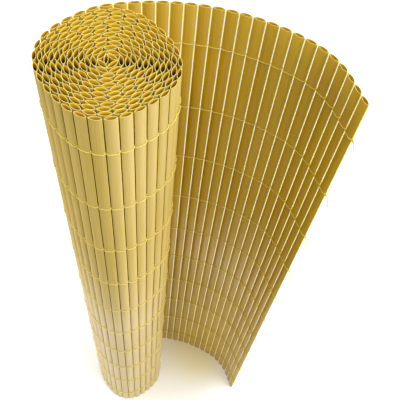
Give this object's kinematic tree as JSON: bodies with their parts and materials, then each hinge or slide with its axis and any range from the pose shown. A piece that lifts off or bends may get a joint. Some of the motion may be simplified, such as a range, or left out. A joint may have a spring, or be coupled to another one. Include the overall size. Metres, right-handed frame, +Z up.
{
  "type": "bamboo screening mat",
  "caption": "Bamboo-look screening mat of hollow lens-section slats tied by rows of thread, standing on end as a roll with its free edge swung out in a curve.",
  "frame": {"origin": "middle of the footprint, on the ground that the slats' lower ends stand on", "axes": "+Z up along the slats, +X from the roll towards the free run, +Y away from the viewer, towards the back of the free run"},
  "size_m": [0.2928, 0.1494, 1],
  "materials": {
    "slat": "extruded plastic in a pale bamboo yellow, satin, finely streaked along its length",
    "tie_thread": "pale yellow twisted thread"
  },
  "bodies": {
    "root": {"rolled_slats": "slat", "slat_01": "slat", "slat_02": "slat", "slat_03": "slat", "slat_04": "slat", "slat_05": "slat", "slat_06": "slat", "slat_07": "slat", "slat_08": "slat", "slat_09": "slat", "slat_10": "slat", "slat_11": "slat", "slat_12": "slat", "slat_13": "slat", "slat_14": "slat", "slat_15": "slat", "slat_16": "slat", "slat_17": "slat", "slat_18": "slat", "slat_19": "slat", "slat_20": "slat", "slat_21": "slat", "slat_22": "slat", "slat_23": "slat", "slat_24": "slat", "slat_25": "slat", "tie_thread_01": "tie_thread", "tie_thread_02": "tie_thread", "tie_thread_03": "tie_thread", "tie_thread_04": "tie_thread", "tie_thread_05": "tie_thread", "tie_thread_06": "tie_thread", "tie_thread_07": "tie_thread", "tie_thread_08": "tie_thread", "tie_thread_09": "tie_thread", "tie_thread_10": "tie_thread"}
  },
  "joints": []
}
